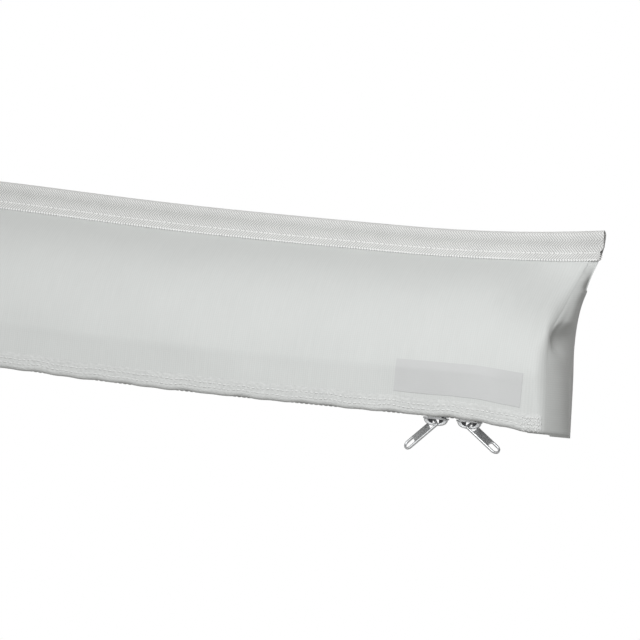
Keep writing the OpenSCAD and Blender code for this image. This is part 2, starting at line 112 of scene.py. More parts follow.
def make_piece(name, points, faces, lay=None, crease=40):
    """A closed piece from points and faces; lay is the place of each point on the flat cloth."""
    mesh = bpy.data.meshes.new(name)
    mesh.from_pydata(np.reshape(points, (-1, 3)).tolist(), [], faces)
    shape = bmesh.new()
    shape.from_mesh(mesh)
    bmesh.ops.recalc_face_normals(shape, faces=shape.faces)
    shape.to_mesh(mesh)
    shape.free()
    if lay is not None:
        corners = np.empty(len(mesh.loops), dtype=np.int32)
        mesh.loops.foreach_get("vertex_index", corners)
        layer = mesh.uv_layers.new(name="lay")
        layer.data.foreach_set("uv", np.reshape(lay, (-1, 2))[corners].astype(np.float32).ravel())
    mesh.shade_smooth()
    mesh.set_sharp_from_angle(angle=math.radians(crease))
    piece = bpy.data.objects.new(name, mesh)
    bpy.context.scene.collection.objects.link(piece)
    return piece


def run_lengths(points):
    """Distance along a line of points from its start."""
    steps = np.linalg.norm(np.diff(points, axis=0), axis=-1)
    return np.concatenate([[0.0], np.cumsum(steps)])


def swept(name, rings, crease=40):
    """A solid through rings of points, with flat ends; its lay is the length along and the way round."""
    rows, cols = rings.shape[:2]
    along = run_lengths(rings[:, 0])
    around = run_lengths(rings[rows // 2])
    faces = grid_faces(rows, cols, wrap=True)
    faces.append(list(range(cols)))
    faces.append(list(range((rows - 1) * cols, rows * cols)))
    lay = np.stack(np.meshgrid(along, around, indexing="ij"), axis=-1)
    return make_piece(name, rings, faces, lay, crease)


class Wire:
    """A socket in a material; sums on wires add the Math nodes that work them out."""

    def __init__(self, tree, socket=None):
        self.tree = tree
        self.socket = socket

    def node(self, kind, settings=None, sockets=None, out=0):
        """Any node: its settings first, then values or links for its sockets."""
        made = self.tree.nodes.new(kind)
        for name, value in (settings or {}).items():
            setattr(made, name, value)
        for name, value in (sockets or {}).items():
            self.feed(made.inputs[name], value)
        return Wire(self.tree, made.outputs[out])

    def feed(self, socket, value):
        """Link a wire to a socket, or set a plain value on it."""
        if isinstance(value, Wire):
            self.tree.links.new(value.socket, socket)
        else:
            socket.default_value = value

    def maths(self, operation, *values):
        return self.node("ShaderNodeMath", {"operation": operation}, dict(enumerate(values)))

    def __add__(self, other):
        return self.maths("ADD", self, other)

    def __mul__(self, other):
        return self.maths("MULTIPLY", self, other)

    def wave(self, pitch):
        """Rises and falls between nought and one, once in each pitch."""
        return self.maths("SINE", self * (2 * math.pi / pitch)) * 0.5 + 0.5

    def noise(self, scale, detail=2.0):
        """Soft cloudy variation at the wire's places."""
        sockets = {"Vector": self, "Scale": scale, "Detail": detail}
        return self.node("ShaderNodeTexNoise", {}, sockets, "Fac")

    def axis(self, letter):
        return self.node("ShaderNodeSeparateXYZ", {}, {"Vector": self}, letter)

    def tint(self, low, high):
        """A colour between two, by this wire."""
        sockets = {"Factor": self, 6: (*low, 1), 7: (*high, 1)}
        return self.node("ShaderNodeMix", {"data_type": "RGBA"}, sockets, 2)

    def bump(self, strength, height):
        """A surface direction that follows this wire as a height."""
        sockets = {"Strength": strength, "Distance": height, "Height": self}
        return self.node("ShaderNodeBump", {}, sockets, "Normal")


class Finish:
    """A material with one surface; same holds its sockets that don't change over the surface."""

    def __init__(self, name, same):
        self.material = bpy.data.materials.new(name)
        self.material.use_nodes = True
        self.surface = self.material.node_tree.nodes["Principled BSDF"]
        self.start = Wire(self.material.node_tree)
        for socket, value in same.items():
            self.surface.inputs[socket].default_value = value

    def places(self):
        return self.start.node("ShaderNodeTexCoord", {}, {}, "Object")

    def lay(self):
        return self.start.node("ShaderNodeUVMap", {"uv_map": "lay"})

    def vary(self, **wires):
        """Link what changes over the surface: colour, roughness or normal."""
        names = {"colour": "Base Color", "roughness": "Roughness", "normal": "Normal"}
        for word, wire in wires.items():
            self.start.feed(self.surface.inputs[names[word]], wire)

    def put_on(self, *pieces):
        for piece in pieces:
            if piece.material_slots:
                for place in piece.material_slots:
                    place.material = self.material
            else:
                piece.data.materials.append(self.material)


cord_places = stations(half_len - cord_recess, 0.02, 0.008)
turn = np.linspace(0, 2 * math.pi, 20, endpoint=False)
cord_rings = settle(cord_places[:, None], cord_r * np.cos(turn), cord_r * np.sin(turn))
welt_cord = swept("welt_cord", cord_rings)
cord_plastic = Finish("cord_plastic", {"Roughness": 0.48})
cord_cloud = cord_plastic.places().noise(180, 3)
cord_plastic.vary(
    colour=cord_cloud.tint((0.55, 0.54, 0.5), (0.66, 0.65, 0.61)),
    normal=cord_cloud.bump(0.2, 0.0002),
)
cord_plastic.put_on(welt_cord)
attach(welt_cord, "root")
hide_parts("keder_cord")


# Welt band
# A white polyester tape woven in a herringbone, folded over the cord and stitched through the bag's top edge.
# Its two tails hold the cloth between them. The ends are cut off by hand, a little short below the stitching.
weave_t = bead_r - cord_r
band_drop = -band_low.z
tail_out = 0.001525
tail_in = tail_out - weave_t
tuck_top = -0.0085
slit = 0.00004
weave_row = 0.0046
weave_pitch = 0.00205
bead_trim = 0.0007
tail_trim = 0.0024
fray = 0.0003


def arc(centre, radius, from_deg, to_deg, count):
    """Points on an arc in the section."""
    angle = np.radians(np.linspace(from_deg, to_deg, count))
    return np.array(centre) + radius * np.stack([np.cos(angle), np.sin(angle)], axis=-1)


def curve(*poles, count):
    """Points on the smooth curve that its poles pull out."""
    t = np.linspace(0, 1, count)[:, None]
    top = len(poles) - 1
    return sum(math.comb(top, k) * t ** k * (1 - t) ** (top - k) * np.array(p) for k, p in enumerate(poles))


band_face = np.concatenate([
    arc((0, 0), bead_r, 90, 190, 14),
    curve((-0.00354, -0.0007), (-0.0033, -0.0042), (-0.0018, -0.0050), (-tail_out, -0.0095), count=10)[1:],
    curve((-tail_out, -0.0095), (-tail_out, -band_drop + 0.0003), count=6)[1:],
])
band_front = np.concatenate([
    band_face,
    [(-tail_out + 0.0002, -band_drop), (-tail_in - 0.0002, -band_drop), (-tail_in, -band_drop + 0.0003)],
    [(-tail_in, tuck_top), (-slit, tuck_top + tail_in), (-slit, -cord_r)],
    arc((0, 0), cord_r, 268, 90, 18),
])
band_back = band_front[-2:0:-1] * (-1, 1)
band_section = np.roll(np.concatenate([band_front, band_back]), 1 - len(band_front), axis=0)
end_cut = bead_trim * smooth(band_section[:, 1] / bead_r)
end_cut += tail_trim * smooth((-band_section[:, 1] - 0.009) / 0.0015)
end_cut += fray * np.sin(band_section[:, 1] * 4100) * (band_section[:, 1] < -0.010)
band_places = stations(half_len, 0.012, 0.004)
band_x = np.clip(band_places[:, None], end_cut - half_len, half_len - end_cut)
band_rings = settle(band_x, band_section[:, 0], band_section[:, 1])
welt_band = swept("welt_band", band_rings, 50)

band_weave = Finish("band_weave", {"Roughness": 0.62, "Specular IOR Level": 0.3, "Sheen Weight": 0.12})
band_along = band_weave.lay().axis("X")
band_down = band_weave.lay().axis("Y")
zigzag = band_down.maths("PINGPONG", band_down, weave_row)
strokes = (band_along + zigzag).wave(weave_pitch)
picks = band_down.wave(0.0011)
band_cloud = band_weave.places().noise(60, 4)
band_fleck = band_weave.places().noise(1100, 2)
band_shade = strokes * 0.55 + picks * 0.1 + band_cloud * 0.15 + band_fleck * 0.2
band_weave.vary(
    colour=band_shade.tint((0.33, 0.33, 0.326), (0.94, 0.94, 0.932)),
    normal=(strokes * 0.75 + picks * 0.25).bump(0.5, 0.0005),
)
band_weave.put_on(welt_band)
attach(welt_band, "root")
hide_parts("keder_band")


# Stitching of the band
# White polyester thread: a lockstitch through both tails and the cloth between them, and an overlock
# along each tail's lower edge. A few cut threads stick out at the ends.
lock_drop = 0.0118
lock_pitch = 0.0037
overlock_pitch = 0.0021
thread_r = 0.00042
thread_stop = 0.0032
tuft_count = 5
tuft_start = 0.0115
tuft_in = 0.0028


def stitches(name, starts, ends, outward, radius, sides=5):
    """Sewn stitches, each a plump bit of thread from a start to an end, lying on the cloth."""
    way = ends - starts
    across = np.cross(way / np.linalg.norm(way, axis=-1, keepdims=True), outward)
    share = np.array([0.0, 0.15, 0.5, 0.85, 1.0])
    girth = np.array([0.4, 0.85, 1.0, 0.85, 0.4]) * radius
    angle = 2 * math.pi * np.arange(sides) / sides
    ring = across[:, None] * np.cos(angle)[:, None] + outward[:, None] * np.sin(angle)[:, None]
    centre = starts[:, None] + way[:, None] * share[:, None]
    points = centre[:, :, None] + ring[:, None] * girth[:, None, None]
    size = len(share) * sides
    one = grid_faces(len(share), sides, wrap=True)
    ends_of_one = [list(range(sides)), list(range(size - sides, size))]
    shift = size * np.arange(len(starts))[:, None, None]
    faces = (np.array(one) + shift).reshape(-1, 4).tolist()
    faces += (np.array(ends_of_one) + shift).reshape(-1, sides).tolist()
    return make_piece(name, points, faces)


def band_stitches(name, side, drop, pitch, fill, lean, radius):
    """One row of stitches on one face of the band; side is -1 at the front and 1 at the back."""
    middle = np.arange(thread_stop - half_len, half_len - thread_stop, pitch)
    y = side * np.full(len(middle), -np.interp(drop, -band_face[:, 1], band_face[:, 0]))
    reach = pitch * fill / 2
    starts = settle(middle - reach, y, np.full(len(middle), lean - drop))
    ends = settle(middle + reach, y, np.full(len(middle), -lean - drop))
    outward = np.tile((0.0, float(side), 0.0), (len(middle), 1))
    return stitches(name, starts, ends, outward, radius)


def thread(name, dull, bright):
    """Twisted polyester sewing thread."""
    twist = Finish(name, {"Roughness": 0.55, "Sheen Weight": 0.2})
    cloud = twist.places().noise(900, 2)
    twist.vary(colour=cloud.tint(dull, bright), normal=cloud.bump(0.4, 0.0002))
    return twist


band_thread = thread("band_thread", (0.76, 0.76, 0.755), (0.92, 0.92, 0.915))
for side, word in ((-1, "front"), (1, "back")):
    lock_row = band_stitches(f"band_lockstitch_{word}", side, lock_drop, lock_pitch, 0.72, 0, thread_r)
    edge_row = band_stitches(
        f"band_overlock_{word}", side, band_drop - 0.0002, overlock_pitch, 0.62, 0.0004, thread_r * 2.1)
    tuft_drop = np.tile(np.linspace(tuft_start, band_drop - 0.0004, tuft_count), 2)
    tuft_end = np.repeat((-1.0, 1.0), tuft_count) * (half_len - tuft_in)
    tuft_out = np.sign(tuft_end) * 0.0009 * (1.3 + np.sin(tuft_drop * 9100))
    tuft_y = np.full(2 * tuft_count, side * (tail_out - 0.0002))
    tufts = stitches(
        f"band_cut_threads_{word}",
        settle(tuft_end, tuft_y, -tuft_drop),
        settle(tuft_end + tuft_out, tuft_y + side * 0.0004, -tuft_drop - 0.0007 * np.sin(tuft_drop * 5200)),
        np.tile((0.0, float(side), 0.0), (2 * tuft_count, 1)), thread_r * 0.7)
    for row in (lock_row, edge_row, tufts):
        band_thread.put_on(row)
        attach(row, "root")


# Front panel
# Light grey polyester cloth with a soft vinyl coating. Its top edge is sewn into the band. It bulges over
# the roll, hangs upright, turns under at a hem and rounds softly into the ends.
bag_depth = -bag_low.y
cloth_t = 0.0006
hem_y = -0.06995
fold_r = 0.003
belly_drop = 0.104
cloth_top = -0.009
panel_y = -0.0008
panel_top = -band_drop - 0.0003
shoulder_out = half_len - 0.003
slack_reach = 0.075
wrap_zone = 0.030
wrap_start = shoulder_out - wrap_zone
wrap_stop_y = -0.0545
end_drop = np.array([0.017, 0.031, 0.042, 0.054, 0.076, 0.098, 0.138])
end_inset = np.array([0.003, 0.0087, 0.0116, 0.0142, 0.0156, 0.0142, 0.0122])
round_drop = np.array([0.017, 0.031, 0.045, 0.058, 0.068, 0.080, 0.096, 0.138])
front_inset = np.array([0.0100, 0.0138, 0.0175, 0.0195, 0.0205, 0.0190, 0.0165, 0.0122])
round_along = np.array([0.001, 0.008, 0.012, 0.007, 0.004, 0.010, 0.013, 0.008])
round_deep = np.array([0.0005, 0.006, 0.012, 0.009, 0.005, 0.012, 0.018, 0.016])
round_turn = np.radians([80, 60, 60, 66, 80, 64, 54, 40])


def through(at, places, values):
    """A smooth line through given values at given places."""
    slope = np.gradient(values, places)
    k = np.clip(np.searchsorted(places, at) - 1, 0, len(places) - 2)
    run = places[k + 1] - places[k]
    t = np.clip((at - places[k]) / run, 0, 1)
    bend = t * (1 - t) ** 2 * slope[k] - t * t * (1 - t) * slope[k + 1]
    return values[k] + (values[k + 1] - values[k]) * smooth(t) + run * bend


def front_path(*bulge):
    """The front's line in the section, from the tuck in the band down to the hem's edge."""
    upright = (-bag_depth, -bag_drop + fold_r)
    return np.concatenate([
        curve((panel_y, cloth_top), (panel_y, panel_top), count=5),
        curve((panel_y, panel_top), *bulge, (-bag_depth, -belly_drop), count=60)[1:],
        curve((-bag_depth, -belly_drop), upright, count=10)[1:],
        arc((-bag_depth + fold_r, -bag_drop + fold_r), fold_r, 180, 270, 9)[1:],
        curve((-bag_depth + fold_r, -bag_drop), (hem_y, -bag_drop), count=4)[1:],
    ])


def inward(path):
    """Directions square to a path, towards the inside of the bag."""
    way = np.gradient(path, axis=0)
    way /= np.linalg.norm(way, axis=1, keepdims=True)
    return np.stack([-way[:, 1], way[:, 0]], axis=-1)


full_path = front_path((-bag_depth + 0.010, -0.044))
slack_path = front_path((-0.022, -0.046), (-0.083, -0.064))
path_steps = np.arange(len(full_path))
fold_step = len(full_path) - 4
upright_step = fold_step - 17
full_in = inward(full_path)
slack_in = inward(slack_path)


def end_at(z):
    """Where the bag ends at its back, at a height in the section."""
    return half_len - through(-z, end_drop, end_inset)


def front_end(z):
    """Where the front meets the end panel."""
    return half_len - through(-z, round_drop, front_inset)


def front_raw(along, across, out=0.0):
    """Points on the front before it settles: along it, across it in steps of the path, and out from it."""
    along, across = np.broadcast_arrays(np.asarray(along, float), np.asarray(across, float))
    far = np.abs(along)
    slack = smooth((far - shoulder_out + slack_reach) / (slack_reach - 0.01))
    full = [np.interp(across, path_steps, line) for line in (*full_path.T, *full_in.T)]
    loose = [np.interp(across, path_steps, line) for line in (*slack_path.T, *slack_in.T)]
    y, z, in_y, in_z = (a + slack * (b - a) for a, b in zip(full, loose))
    low = across >= upright_step
    draw_y, draw_z = np.where(low, 1.0, in_y), np.where(low, 0.0, in_z)
    round_x = through(-z, round_drop, round_along)
    round_in = through(-z, round_drop, round_deep)
    round_in = np.where(low, np.minimum(round_in, 0.96 * (wrap_stop_y - y)), round_in)
    turn_end = through(-z, round_drop, round_turn)
    drawn_end = round_in * (1 - np.cos(turn_end))
    flat_run = front_end(z + draw_z * drawn_end) - round_x * np.sin(turn_end) - wrap_start
    turn_run = turn_end * np.sqrt((round_x ** 2 + round_in ** 2) / 2)
    wrapped = np.clip((far - wrap_start) / wrap_zone, 0, 1)
    gone = wrapped * (flat_run + turn_run)
    turn = turn_end * np.clip((gone - flat_run) / turn_run, 0, 1)
    x = np.minimum(far, wrap_start) + np.minimum(gone, flat_run) + round_x * np.sin(turn) + out * np.sin(turn)
    drawn = round_in * (1 - np.cos(turn))
    soft = smooth((-z - 0.022) / 0.03) * smooth((bag_drop - 0.012 + z) / 0.03) * (1 - wrapped)
    wave = soft * (
        0.0007 * np.sin(2 * math.pi * far / 0.27 + 1.3 * np.sin(2 * math.pi * along / 0.71))
        + 0.0004 * np.sin(2 * math.pi * (along / 0.094 + z / 0.13) + 0.7)
    )
    push = wave + out * np.cos(turn)
    ripple = 0.0004 * np.sin(along * 118 + 1.1 * np.sin(along * 37)) + 0.0003 * np.sin(along * 271)
    hang = ripple * smooth((-z - bag_drop + 0.022) / 0.018) * (1 - wrapped)
    return np.copysign(x, along), y + draw_y * drawn - in_y * push, z + draw_z * drawn - in_z * push + hang


def front_skin(along, across, out=0.0):
    return settle(*front_raw(along, across, out))


def cloth_sheet(name, grid, thick):
    """A sheet of cloth with a real thickness; the given rows of points are its outer face."""
    rows, cols = grid.shape[:2]
    normal = np.cross(np.gradient(grid, axis=1), np.gradient(grid, axis=0))
    normal /= np.linalg.norm(normal, axis=-1, keepdims=True)
    size = rows * cols
    index = np.arange(size).reshape(rows, cols)
    rim = np.concatenate([index[0, :-1], index[:-1, -1], index[-1, :0:-1], index[:0:-1, 0]])
    after = np.roll(rim, -1)
    faces = grid_faces(rows, cols) + grid_faces(rows, cols, first=size)
    faces += np.stack([rim, after, after + size, rim + size], axis=-1).tolist()
    along = run_lengths(grid[:, cols // 2])
    across = run_lengths(grid[rows // 2])
    lay = np.stack(np.meshgrid(along, across, indexing="ij"), axis=-1)
    return make_piece(name, np.concatenate([grid, grid - thick * normal]), faces, np.concatenate([lay, lay]))


corner_places = np.linspace(wrap_start, shoulder_out, 50)
even_places = stations(shoulder_out, 0.008, 0.003)
front_places = np.unique(np.concatenate([even_places, corner_places, -corner_places]))
front_places = front_places[np.append(True, np.diff(front_places) > 0.0001)]
front_grid = front_skin(front_places[:, None], path_steps)
front_panel = cloth_sheet("front_panel", front_grid, cloth_t)

bag_cloth = Finish("bag_cloth", {"Specular IOR Level": 0.12})
cloth_along = bag_cloth.lay().axis("X")
cloth_down = bag_cloth.lay().axis("Y")
cloth_cloud = bag_cloth.places().noise(26, 4)
cloth_speck = bag_cloth.places().noise(700, 2)
drawn_down = bag_cloth.places().node(
    "ShaderNodeMapping", {}, {"Vector": bag_cloth.lay(), "Scale": (1.0, 0.06, 1.0)})
streaks = drawn_down.noise(620, 2)
ribs = cloth_along.wave(0.0017) * 0.65 + cloth_down.wave(0.0015) * 0.35
cloth_shade = cloth_cloud * 0.3 + cloth_speck * 0.15 + ribs * 0.25 + streaks * 0.3
bag_cloth.vary(
    colour=cloth_shade.tint((0.556, 0.568, 0.562), (0.692, 0.706, 0.698)),
    roughness=cloth_cloud * 0.12 + 0.52,
    normal=(ribs * 0.4 + cloth_speck * 0.2 + streaks * 0.4).bump(0.3, 0.0003),
)
bag_cloth.put_on(front_panel)
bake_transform(front_panel)
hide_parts("bag_front_panel")


# End panels
# The same coated cloth, sewn into the band, the front and the back, with the cut edges inside. Nothing fills
# the bag past the end brackets, so the cloth falls in at a crease half way down and comes out slowly below.
dent_y = -0.057
dent_z = -0.0735
dent_deep = 0.006
tuck_z = -0.037
end_turn_in = 0.015
end_fall = 0.0012
back_y = 0.000825


def end_droop(y, z):
    """How far the unfilled bottom of an end hangs below the rest."""
    return end_fall * smooth((y - wrap_stop_y) / 0.03) * (-z / bag_drop) ** 4


def end_skin(side, dent):
    """Points over one end, from the front corner to the back; side is 1 at the right end."""
    share = np.linspace(0, 1, 44)
    rows = np.arange(3, fold_step + 1)
    x, y, z = front_raw(side * shoulder_out, rows)
    near_x, near_y, _ = front_raw(side * (shoulder_out - 0.0002), rows)
    lean = (np.abs(x) - np.abs(near_x)) / np.maximum(y - near_y, 0.000001)
    lean = np.clip(lean - (end_at(z) - np.abs(x)) / (back_y - y), 0, 0.6)
    puff = (lean * (back_y - y) / math.pi)[:, None] * np.sin(math.pi * share) * (1 - share) ** 0.7
    y = y[:, None] + (back_y - y)[:, None] * share
    z = z[:, None] + 0 * y
    crease = z - dent_z - (y - dent_y) * 0.075
    wide = np.where(crease < 0, 0.012, 0.013)
    fall = 0.5 * np.exp(-(crease / wide) ** 2) + 0.5 * np.exp(-np.abs(crease) / (wide * 0.7))
    below = np.clip(-crease / (bag_drop + dent_z), 0, 1)
    fall = np.where(crease < 0, 0.35 * fall + 0.65 * (1 - below ** 4), fall)
    wall = 0.22 + 0.55 * smooth(below / 0.45)
    reach = dent_deep * smooth(share / wall) * (1 - smooth(share)) ** 0.9
    notch = 0.0009 * np.tanh((tuck_z - z) / 0.0006) * np.exp(-((z - tuck_z) / 0.006) ** 2) * share
    shift = puff + notch - dent * fall * reach
    x = np.abs(x)[:, None] * (1 - share) + end_at(z) * share + shift
    z = z - end_droop(y, z)
    x = np.concatenate([x, x[-1:] - end_turn_in])
    y = np.concatenate([y, y[-1:]])
    z = np.concatenate([z[:-1], z[-1:] - cloth_t, z[-1:] - cloth_t])
    return settle(side * x, y, z)


for side, word, dent in ((1, "right", 1.0), (-1, "left", 0.55)):
    end_grid = end_skin(side, dent)
    if side > 0:
        end_grid = end_grid[::-1]
    end_panel = cloth_sheet(f"end_panel_{word}", end_grid, cloth_t)
    bag_cloth.put_on(end_panel)
    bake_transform(end_panel)
    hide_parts(f"bag_end_{word}")


# Back and bottom panel
# One piece of the same cloth, sewn into the band's back tail. It hangs flat against the vehicle's wall,
# turns forward at the bottom and ends in a hem at the zip.
zip_y = (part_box("zip_coil_back")[0].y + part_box("zip_coil_front")[1].y) / 2
back_hem_y = zip_y + 0.008
back_path = np.concatenate([
    curve((back_hem_y, -bag_drop), (back_y - fold_r, -bag_drop), count=14),
    arc((back_y - fold_r, -bag_drop + fold_r), fold_r, -90, 0, 9)[1:],
    curve((back_y, -bag_drop + fold_r), (back_y, cloth_top), count=24)[1:],
])
back_places = stations(1.0, 0.012, 0.004) * shoulder_out
back_end = end_at(back_path[:, 1])
back_x = back_places[:, None] * (back_end / shoulder_out)
back_wave = 0.0005 * np.sin(2 * math.pi * back_x / 0.33) * smooth((-back_path[:, 1] - 0.02) / 0.04)
back_bow = back_wave * smooth((back_path[:, 0] + 0.004) / 0.004)
back_fall = end_droop(*back_path.T) * smooth(1 - (back_end - np.abs(back_x)) / 0.03)
back_grid = settle(back_x, back_path[:, 0] - np.abs(back_bow), back_path[:, 1] - back_fall)
back_panel = cloth_sheet("back_panel", back_grid, cloth_t)
bag_cloth.put_on(back_panel)
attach(back_panel, "root")
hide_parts("bag_back_panel")


# Front hem
# The front's lower edge is folded up double. Two rows of lockstitch in pale thread draw it into small
# puckers, and a patch of thick zigzag tacking closes each end.
hem_up = 0.0128
hem_rows = (0.0046, 0.0084)
hem_pitch = 0.0038
hem_step = 0.00127
hem_out = 0.00015
pucker = 0.00022
pucker_end = 0.0006
thread_out = 0.0003
tack_start = shoulder_out - 0.027
tack_end = shoulder_out - 0.0065
tack_low = 0.0014
tack_lift = 0.0021
tack_lean = 0.0006
hem_thread_r = 0.00055
tack_thread_r = 0.0007


def step_at(drop):
    """The path's step at a drop below the cord, on the front's upright part and its fold."""
    return np.interp(drop, -full_path[:fold_step + 1, 1], path_steps[:fold_step + 1])


hem_across = step_at(bag_drop - hem_up * np.linspace(1, 0, 16) ** 1.4)
hem_along = np.arange(-tack_end, tack_end, hem_step)[:, None]
hem_height = bag_drop + np.interp(hem_across, path_steps, full_path[:, 1])
pinch = sum(np.exp(-((hem_height - up) / 0.001) ** 2) for up in hem_rows)
crimp = (
    0.5 + 0.22 * np.sin(2 * math.pi * hem_along / 0.0061 + 1.9 * np.sin(hem_along * 93) + 160 * hem_height)
    + 0.16 * np.sin(2 * math.pi * hem_along / 0.0039 + 2.3 * np.sin(hem_along * 41) - 300 * hem_height)
    + 0.12 * np.sin(2 * math.pi * hem_along / 0.0093 + 1.2 * np.sin(hem_along * 17))
)
hem_edge = smooth((hem_up - hem_height) / 0.0025) * (0.3 + 0.7 * smooth(hem_height / 0.003))
hem_rough = pucker + pucker_end * smooth((np.abs(hem_along) - shoulder_out + 0.11) / 0.09)
hem_grid = front_skin(hem_along, hem_across, (hem_out + hem_rough * crimp * (1 - 0.8 * pinch)) * hem_edge)
hem_fold = cloth_sheet("hem_fold", hem_grid, cloth_t)
hem_cloth = Finish("hem_cloth", {"Specular IOR Level": 0.12, "Roughness": 0.58})
hem_drawn = hem_cloth.places().node(
    "ShaderNodeMapping", {}, {"Vector": hem_cloth.lay(), "Scale": (0.6, 1.0, 1.0)})
# The crinkle noise bumps the hem and also sets its colour: darker in the crinkles' hollows, which is painted
# shade, with some random tone from the cloud.
hem_crinkle_and_shade = hem_drawn.noise(620, 3)
hem_cloud = hem_cloth.places().noise(40, 3)
hem_cloth.vary(
    colour=(hem_crinkle_and_shade * 0.7 + hem_cloud * 0.3).tint((0.47, 0.478, 0.474), (0.78, 0.792, 0.785)),
    normal=hem_crinkle_and_shade.bump(0.8, 0.0006),
)
hem_cloth.put_on(hem_fold)
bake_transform(hem_fold)


sewing_thread = thread("sewing_thread", (0.58, 0.585, 0.58), (0.76, 0.765, 0.76))


def front_stitches(name, starts_along, starts_drop, ends_along, ends_drop, radius):
    """Stitches on the front panel between pairs of places."""
    starts = front_skin(starts_along, step_at(starts_drop), thread_out)
    ends = front_skin(ends_along, step_at(ends_drop), thread_out)
    outward = starts - front_skin(starts_along, step_at(starts_drop))
    outward /= np.linalg.norm(outward, axis=-1, keepdims=True)
    row = stitches(name, starts, ends, outward, radius)
    sewing_thread.put_on(row)
    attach(row, "flap")


hem_middle = np.arange(-tack_start, tack_start, hem_pitch)
for number, up in enumerate(hem_rows, 1):
    wander = 0.0003 * np.sin(hem_middle * 41 + number * 2.1) + 0.0002 * np.sin(hem_middle * 137)
    drop = bag_drop - up + wander
    reach = hem_pitch * 0.34
    front_stitches(f"hem_stitches_{number}", hem_middle - reach, drop, hem_middle + reach, drop, hem_thread_r)

tack_rows, tack_count = 5, 9
tack_row, tack_step = np.divmod(np.arange(tack_rows * tack_count), tack_count)
tack_pitch = (tack_end - tack_start - 0.003) / tack_count
for side, word in ((1, "right"), (-1, "left")):
    jitter = 0.35 * np.sin(tack_step * 5.1 + tack_row * 2.3)
    along = side * (tack_start + 0.001 + tack_pitch * (tack_step + 0.5 * (tack_row % 2) + jitter))
    drop = bag_drop - tack_low - tack_lift * tack_row + 0.0004 * np.sin(tack_step * 2.4 + tack_row)
    lean = tack_lean * np.where((tack_step + tack_row) % 2, 1, -1)
    reach = side * tack_pitch * 0.46
    front_stitches(f"hem_tack_{word}", along - reach, drop - lean, along + reach, drop + lean, tack_thread_r)

back_middle = np.arange(-tack_start, tack_start, hem_pitch)
back_line = (0 * back_middle + back_hem_y + 0.003, 0 * back_middle - bag_drop)
back_row = stitches(
    "back_hem_stitches",
    settle(back_middle - hem_pitch * 0.36, *back_line), settle(back_middle + hem_pitch * 0.36, *back_line),
    np.tile((0.0, 0.0, -1.0), (len(back_middle), 1)), 0.00046)
sewing_thread.put_on(back_row)
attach(back_row, "root")


# Label patch
# A thin grey film welded flat on the front panel near the right end. It is left bare.
label_low, label_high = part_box("label_patch")
label_t = 0.0003
label_along = np.linspace(label_low.x, label_high.x, 60)
label_across = step_at(np.linspace(-label_high.z, -label_low.z, 20))
label_grid = front_skin(label_along[:, None], label_across, label_t + 0.00005)
label_patch = cloth_sheet("label_film", label_grid, label_t)
label_finish = Finish("label_finish", {"Specular IOR Level": 0.12})
label_cloud = label_finish.places().noise(45, 3)
label_lay = label_finish.lay()
label_grain = label_lay.axis("X").wave(0.0013) * 0.5 + label_lay.axis("Y").wave(0.0016) * 0.5
label_finish.vary(
    colour=label_cloud.tint((0.55, 0.556, 0.558), (0.595, 0.601, 0.603)),
    roughness=label_cloud * 0.1 + 0.48,
    normal=label_grain.bump(0.08, 0.0002),
)
label_finish.put_on(label_patch)
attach(label_patch, "flap")
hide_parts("label_patch")


# Zip tapes
# Two woven polyester tapes, sewn under the hems. The front one is drawn aside between the two sliders,
# where the zip is open.
coil_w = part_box("zip_coil_back")[1].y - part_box("zip_coil_back")[0].y
coil_low_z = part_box("zip_coil_back")[0].z
coil_high_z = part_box("zip_coil_back")[1].z
zip_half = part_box("zip_coil_front")[1].x
slider_x = {side: sum(c.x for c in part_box(f"zip_slider_{side}")) / 2 for side in ("left", "right")}
slider_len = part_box("zip_slider_left")[1].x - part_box("zip_slider_left")[0].x
jog_run = slider_len / 8


def aside(x):
    """How far the front row is drawn away from the middle line between the sliders."""
    opened = smooth((x - slider_x["left"] + jog_run) / (2 * jog_run))
    closed = smooth((x - slider_x["right"] + jog_run) / (2 * jog_run))
    return coil_w * (opened - closed)


zip_places = np.unique(np.concatenate([
    np.linspace(-zip_half, zip_half, 160),
    np.linspace(slider_x["left"] - 2 * jog_run, slider_x["right"] + 2 * jog_run, 60),
]))
tape_weave = Finish("tape_weave", {"Roughness": 0.7, "Specular IOR Level": 0.25})
tape_ribs = tape_weave.lay().axis("X").wave(0.0011) * 0.5 + tape_weave.lay().axis("Y").wave(0.0008) * 0.5
tape_cloud = tape_weave.places().noise(90, 3)
tape_weave.vary(
    colour=(tape_ribs * 0.5 + tape_cloud * 0.5).tint((0.4, 0.405, 0.405), (0.56, 0.565, 0.565)),
    normal=tape_ribs.bump(0.4, 0.0003),
)
for word, body in (("front", "flap"), ("back", "root")):
    low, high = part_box(f"zip_tape_{word}")
    share = np.linspace(0, 1, 10)
    if word == "front":
        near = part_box("zip_coil_front")[1].y - coil_w - aside(zip_places)
        y = low.y + (near - low.y)[:, None] * share
    else:
        y = low.y + (high.y - low.y) * share + 0 * zip_places[:, None]
    cup = 0.0002 * np.sin(math.pi * share)
    tape_grid = settle(*np.broadcast_arrays(zip_places[:, None], y, low.z - cup), slack=0)
    tape = cloth_sheet(f"zip_tape_weave_{word}", tape_grid, high.z - low.z)
    tape_weave.put_on(tape)
    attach(tape, body)
    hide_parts(f"zip_tape_{word}")


# Zip coils
# Two rows of a nylon spiral, one on each tape, whose loops hook into each other when the zip is closed.
coil_pitch = 0.002
wire_r = 0.00055
coil_lift = 0.0007


